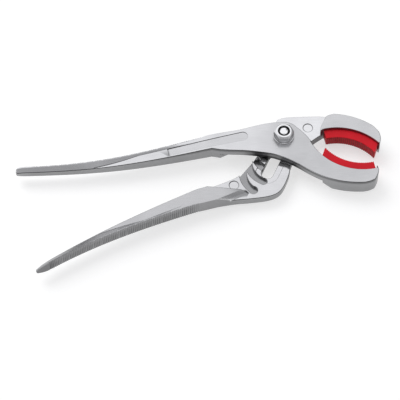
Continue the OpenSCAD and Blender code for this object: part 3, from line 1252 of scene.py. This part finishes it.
@dataclass
class Fasteners:
    """The pivot bolt, its washer and its staked nut."""

    finish: FastenerSteel
    shank_radius: float = 4.0 * MM
    centre_hole: float = 0.02 * MM
    bevel: float = 0.7 * MM
    tip_radius: float = 2.5 * MM
    face_radius: float = 2.0 * MM
    tip_height: float = 1.1 * MM
    thread_pitch: float = 1.25 * MM
    thread_depth: float = 0.35 * MM
    thread_rows: int = 60
    thread_runout: float = 1 / 12
    key_reach: float = 3.0 * MM
    key_height: float = 6.0 * MM
    slot_angle: float = math.radians(246.5)
    crown_share: float = 0.85
    foot_share: float = 0.95
    corner_power: int = 70
    stakes: int = 3
    first_stake: float = math.radians(30)
    stake_depth: float = 0.3 * MM
    stake_size: Place = (0.8 * MM, 0.6 * MM)
    stake_reach: float = 0.8 * MM
    nut_gap: float = 0.05 * MM
    washer_gap: float = 0.2 * MM
    rounds: int = 192

    @property
    def angles(self) -> Array:
        """Angles of the profiles round the axis."""
        return np.linspace(0, 2 * math.pi, self.rounds, endpoint=False)

    def key_radius(self) -> Array:
        """Work out the outline of the bolt's flat-sided key.

        Its radius is where a ray from the axis meets a slot of the shank's width whose round
        end lies key_reach up the slot, and the shank's own radius on the other side.

        Returns:
            The radius at each angle.
        """
        along = -np.cos(self.angles - self.slot_angle)
        across = np.abs(np.sin(self.angles - self.slot_angle))
        side = self.shank_radius / np.maximum(across, 1e-6)
        root = np.sqrt(np.maximum(self.shank_radius**2 - (self.key_reach * across) ** 2, 0))
        key = np.where(side * along <= self.key_reach, side, self.key_reach * along + root)
        return np.where(along <= 0, self.shank_radius, key)

    def thread(self, start: float, stop: float) -> Array:
        """Work out the threaded part of the shank.

        The groove's depth is a wave of height less angle, which fades at both ends.

        Args:
            start: Height where the thread starts.
            stop: Height where it stops.

        Returns:
            Array of shape (round, along, 2).
        """
        share = np.linspace(0, 1, self.thread_rows)[None, :]
        height = start + (stop - start) * share + np.zeros((self.rounds, 1))
        turns = height / self.thread_pitch - self.angles[:, None] / (2 * math.pi)
        fade = np.clip(np.minimum(share, 1 - share) / self.thread_runout, 0, 1)
        depth = self.thread_depth * fade * (0.5 + 0.5 * np.cos(2 * math.pi * turns))
        return np.stack([self.shank_radius - depth, height], axis=-1)

    def staked(self, rows: Array, end: float) -> Array:
        """Dent the bolt's end where it is staked.

        Each stake is a bell-shaped dent at the rim of the end face, with one size round the
        rim and one across it.

        Args:
            rows: Rows of radius and height.
            end: Height of the end face.

        Returns:
            The rows with their dents.
        """
        spread = 2 * math.pi / self.stakes
        around = (self.angles - self.first_stake + spread / 2) % spread - spread / 2
        radius, height = rows[..., 0], rows[..., 1]
        along, across = self.stake_size
        bell = (around[:, None] * radius / along) ** 2 + ((radius - self.tip_radius) / across) ** 2
        dent = self.stake_depth * np.exp(-bell) * (height > end - self.stake_reach)
        return np.stack([radius, height - dent], axis=-1)

    def bolt(self) -> Mesh:
        """Build the bolt: a bevelled head, a keyed neck, a threaded end and a staked end face.

        Returns:
            The mesh.
        """
        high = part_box("pivot_bolt")[1]
        head, end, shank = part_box("front_lever")[0].z, high.z, self.shank_radius
        key, key_top = self.key_radius(), head + self.key_height
        thread_from, thread_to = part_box("washer")[0].z, end - self.tip_height
        neck = Profile(self.angles, [
            (self.centre_hole, 0, 0), (high.x - self.bevel, 0, 0.25 * MM),
            (high.x, self.bevel, 0.25 * MM), (high.x, head, 0.15 * MM), (key, head, 0.1 * MM),
            (key, key_top, 0.1 * MM), (shank, key_top, 0.05 * MM), (shank, thread_from, 0),
        ]).rows()
        tip = Profile(self.angles, [
            (shank, thread_to, 0), (self.tip_radius, end, 0.3 * MM), (self.face_radius, end, 0),
        ]).rows()
        inward = np.linspace(self.face_radius - 0.1 * MM, self.centre_hole, 8)
        face = np.stack(np.broadcast_arrays(inward[None, :], end), axis=-1)
        face = np.broadcast_to(face, (self.rounds, *face.shape[1:]))
        rows = np.concatenate([neck, self.thread(thread_from, thread_to), tip, face], axis=1)
        return turned("pivot_bolt_turning", self.angles, self.staked(rows, end))

    def nut(self) -> Mesh:
        """Build the nut: a hexagon with softened corners, cut by a cone, with a plain bore.

        The hexagon's radius is the half width over the largest of six cosines, taken as a norm
        of a high power so that its corners are a little round. The cone drops from the crown by
        the tangent of 30 degrees.

        Returns:
            The mesh.
        """
        low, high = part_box("hex_nut")
        flats = math.radians(30) + np.arange(6) * math.radians(60)
        cosines = np.maximum(np.cos(self.angles[:, None] - flats[None]), 0)
        outer = high.y / np.linalg.norm(cosines, ord=self.corner_power, axis=1)
        crown, foot = self.crown_share * high.y, self.foot_share * high.y
        fall = math.tan(math.radians(30))
        bore = self.shank_radius + self.nut_gap
        rows = Profile(self.angles, [
            (bore, low.z, 0), (foot, low.z, 0.15 * MM),
            (outer, low.z + (outer - foot) * fall, 0.1 * MM),
            (outer, high.z - (outer - crown) * fall, 0.15 * MM), (crown, high.z, 0.35 * MM),
            (bore + 0.2 * MM, high.z, 0.15 * MM), (bore, high.z - 0.3 * MM, 0.05 * MM),
            (bore, low.z, 0),
        ]).rows()
        return turned("hex_nut_turning", self.angles, rows, closed=False)

    def washer(self) -> Mesh:
        """Build the washer: a flat ring with round edges.

        Returns:
            The mesh.
        """
        low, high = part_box("washer")
        inner = self.shank_radius + self.washer_gap
        rows = Profile(self.angles, [
            (inner, low.z, 0), (high.x, low.z, 0.2 * MM), (high.x, high.z, 0.3 * MM),
            (inner, high.z, 0.1 * MM), (inner, low.z, 0),
        ]).rows()
        return turned("washer_turning", self.angles, rows, closed=False)

    def build(self) -> list[Piece]:
        """Build the three fasteners.

        Returns:
            The finished pieces.
        """
        metal = self.finish.material()
        made = {"pivot_bolt": self.bolt(), "washer": self.washer(), "hex_nut": self.nut()}
        pieces = []
        for node, data in made.items():
            piece = link_mesh(f"{node}_turned", data, metal)
            even_normals(piece)
            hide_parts(node)
            pieces.append(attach(piece, Body.REAR.value))
        return pieces


@dataclass
class Studio:
    """The floor, the lamp, the world and the camera."""

    pixels: float = 400.0
    pixels_per_mm: float = 1.476
    pivot_pixel: Place = (284.8, 139.6)
    joint_height: float = 9.25 * MM
    elevation: float = 58.7
    lens: float = 200.0
    sensor: float = 36.0
    clip: Span = (0.05, 20.0)
    floor_half: float = 3.0
    floor_level: float = -0.02 * MM
    floor_colour: Colour = (0.90, 0.90, 0.90)
    seen_floor_colour: Colour = (0.52, 0.52, 0.52)
    seen_floor_glow: float = 0.58
    lamp_place: Point = (-0.8, 0.8, 1.3)
    lamp_size: float = 1.0
    lamp_power: float = 10.0
    sky_back: Colour = (0.98, 0.98, 1.0)
    sky_front: Colour = (0.40, 0.40, 0.41)
    horizon: Colour = (0.44, 0.44, 0.45)
    back_span: Span = (-0.45, 0.2)
    sky_span: Span = (-0.05, 0.5)
    dark_side: float = 0.35
    dark_way: Point = (0.8, 0.6, 0.0)
    dark_span: Span = (0.45, 0.85)

    def camera(self) -> None:
        """Set the camera where the photograph was taken from, far away with a long lens."""
        data = bpy.data.cameras.new("camera")
        data.lens = self.lens
        data.sensor_width = self.sensor
        camera = bpy.data.objects.new("camera", data)
        bpy.context.scene.collection.objects.link(camera)
        bpy.context.scene.camera = camera
        tilt = math.radians(self.elevation)
        scale = self.pixels_per_mm / MM
        across = (self.pixels / 2 - self.pivot_pixel[0]) / scale
        up = (self.pivot_pixel[1] - self.pixels / 2) / scale
        aim = Vector((across, up / math.sin(tilt), self.joint_height))
        back = Vector((0, -math.cos(tilt), math.sin(tilt)))
        camera.location = aim + back * (self.pixels / scale * self.lens / self.sensor)
        camera.rotation_mode = "QUATERNION"
        camera.rotation_quaternion = (-back).to_track_quat("-Z", "Y")
        data.clip_start, data.clip_end = self.clip

    def lamp(self) -> None:
        """Add the soft lamp behind the pliers on the left, which metal does not mirror."""
        data = bpy.data.lights.new("soft_box", "AREA")
        data.size = self.lamp_size
        data.energy = self.lamp_power
        lamp = bpy.data.objects.new("soft_box", data)
        lamp.location = self.lamp_place
        lamp.rotation_mode = "QUATERNION"
        lamp.rotation_quaternion = (-lamp.location).to_track_quat("-Z", "Y")
        lamp.visible_glossy = False
        bpy.context.scene.collection.objects.link(lamp)

    def floor(self) -> Piece:
        """Make the pale floor.

        To the camera, to metal and to glass it glows a little and takes less of the light, so
        that it looks white and its shadows are faint.

        Returns:
            The floor.
        """
        surface = Surface.new("floor_paper", metallic=0.0)
        path = surface.add("ShaderNodeLightPath").outputs
        seen = surface.math("MAXIMUM", path["Is Camera Ray"], path["Is Glossy Ray"])
        seen = surface.math("MAXIMUM", seen, path["Is Transmission Ray"])
        values = {
            "Base Color": surface.mix(seen, self.floor_colour, self.seen_floor_colour),
            "Emission Strength": surface.math("MULTIPLY", seen, self.seen_floor_glow),
            "Emission Color": (1.0, 1.0, 1.0),
            "Roughness": 1.0,
            "Specular IOR Level": 0.0,
        }
        for label, value in values.items():
            surface.put(value, surface.shader(label))
        data = bpy.data.meshes.new("floor")
        signs = ((-1, -1), (1, -1), (1, 1), (-1, 1))
        corners = [(x * self.floor_half, y * self.floor_half, self.floor_level) for x, y in signs]
        data.from_pydata(corners, [], [(0, 1, 2, 3)])
        floor = link_mesh("floor", data, surface.material)
        return floor

    def world(self) -> None:
        """Make the world: a bright sky, dimmer in front, at the horizon and on its dark side."""
        world = bpy.data.worlds.new("studio")
        world.use_nodes = True
        bpy.context.scene.world = world
        wires = Wiring(world.node_tree)
        way = wires.add("ShaderNodeTexCoord").outputs["Generated"]
        parts = wires.split(way)
        back = wires.between(parts["Y"], *self.back_span)
        high = wires.between(parts["Z"], *self.sky_span)
        dark = wires.between(wires.vector("DOT_PRODUCT", way, self.dark_way), *self.dark_span)
        sky = wires.mix(high, self.horizon, wires.mix(back, self.sky_front, self.sky_back))
        target = world.node_tree.nodes["Background"].inputs["Color"]
        wires.put(wires.dimmed(sky, dark, self.dark_side), target)

    def build(self) -> None:
        """Build the whole studio."""
        bpy.context.scene.view_settings.view_transform = "Standard"
        self.camera()
        self.floor()
        self.world()
        self.lamp()


# Front lever: its top is painted darker toward the jaw as a shading gradient, its walls darker near
# the pivot and high up as painted shade and reflection, and its recessed floor darker as painted
# shade.
FRONT_FINISH = PlatedSteel(
    "front_plating",
    tones=(Tone(0.74),),
    fades=(Fade(Axis.X, -30 * MM, 8 * MM, 0.80),),
    joint_wall=0.06,
    joint_wall_high=0.22,
    wall_top=0.16,
    recess_shade=0.66,
)
# Rear lever: the groove floors below 7.8 mm take a dark grey as painted shade, the plate is painted
# darker toward -Y as shade and reflection of the front lever's hub, the handle's top and the tip's
# walls grow darker toward their ends, and a line of painted shade runs round each coined disc.
REAR_FINISH = PlatedSteel(
    "rear_plating",
    tones=(Tone(0.41), Tone(0.80, above=7.8 * MM), Tone(0.64, above=10.8 * MM)),
    fades=(Fade(Axis.Y, 5 * MM, -15 * MM, 0.88), Fade(Axis.X, -112 * MM, -140 * MM, 0.60)),
    wall_fades=(Fade(Axis.X, -150 * MM, -158 * MM, 0.62),),
    joint_roughness=0.12,
    coin_shade_lines=((17.1 * MM, 10.5 * MM), (-34.3 * MM, -36 * MM)),
)
UPPER_JAW = (36.8 * MM, -32.1 * MM)
LOWER_JAW = (53.6 * MM, 11.7 * MM)
GROOVE_SLIVER = Sliver((-26.35 * MM, -23.3 * MM), 1.0 * MM, 6.7 * MM)
REAR_TIP = SlimTip(
    (-166.5 * MM, -103.8 * MM),
    back=math.radians(34.5),
    reach=15 * MM,
    share=0.62,
    shorter=2 * MM,
    middle=9.25 * MM,
)


def main() -> None:
    """Build the studio, then every piece, and report each."""
    logging.basicConfig(level=logging.INFO, format="%(message)s")
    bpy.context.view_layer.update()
    Studio().build()
    rear, front, plastic, edge = Body.REAR, Body.FRONT, MouldedPlastic(), EdgeShadeAndNicks()
    trims, panel = (GROOVE_SLIVER, REAR_TIP), Panel()
    parts = [
        Lever("rear_lever", rear, REAR_FINISH, edge, UPPER_JAW, teeth_side=-1, trims=trims),
        Lever("front_lever", front, FRONT_FINISH, edge, LOWER_JAW, teeth_side=1, panel=panel),
        JawInsert("upper_insert", rear, plastic, UPPER_JAW),
        JawInsert("lower_insert", front, plastic, LOWER_JAW),
    ]
    pieces = [part.build() for part in parts] + Fasteners(FastenerSteel()).build()
    for piece in pieces:
        log.info("%s: %d vertices before its modifiers", piece.name, len(piece.data.vertices))


if __name__ == "__main__":
    main()
